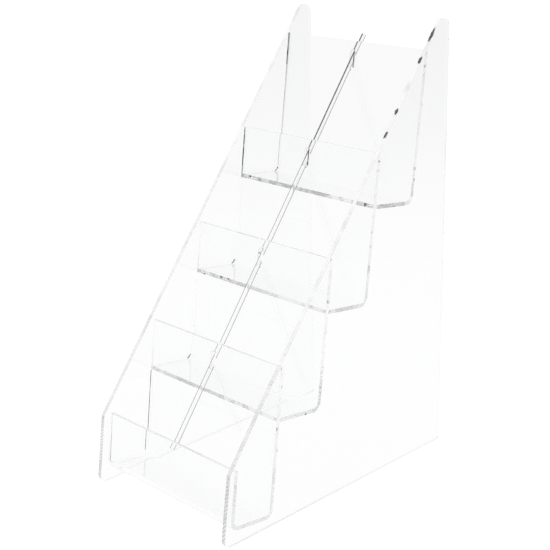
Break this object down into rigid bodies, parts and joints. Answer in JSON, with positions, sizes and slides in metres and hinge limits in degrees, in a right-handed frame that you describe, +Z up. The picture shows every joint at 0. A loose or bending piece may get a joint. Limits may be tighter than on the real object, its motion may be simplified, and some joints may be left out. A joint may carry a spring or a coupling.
{
  "type": "brochure rack",
  "caption": "Clear acrylic stepped brochure rack with sloped side panels, bent sheet tiers and a removable round divider rod.",
  "frame": {"origin": "on the table, middle of the overall width and depth", "axes": "+X to the right across the width, +Y to the back, +Z up; the front lip faces -Y"},
  "size_m": [0.24, 0.3964, 0.568],
  "materials": {
    "side_panel_left": "clear polished acrylic",
    "side_panel_right": "clear polished acrylic",
    "first_tier_sheet": "clear polished acrylic",
    "second_tier_sheet": "clear polished acrylic",
    "third_tier_sheet": "clear polished acrylic",
    "fourth_tier_sheet": "clear polished acrylic",
    "divider_rod": "clear polished acrylic"
  },
  "bodies": {
    "rack": {"side_panel_left": "side_panel_left", "side_panel_right": "side_panel_right", "first_tier_sheet": "first_tier_sheet", "second_tier_sheet": "second_tier_sheet", "third_tier_sheet": "third_tier_sheet", "fourth_tier_sheet": "fourth_tier_sheet"},
    "rod": {"divider_rod": "divider_rod"}
  },
  "joints": [
    {"name": "divider_rod_slide", "type": "slide", "parent": "rack", "child": "rod", "axis": [0, 0.6004, 0.7997], "range_m": [0, 0.62]}
  ]
}
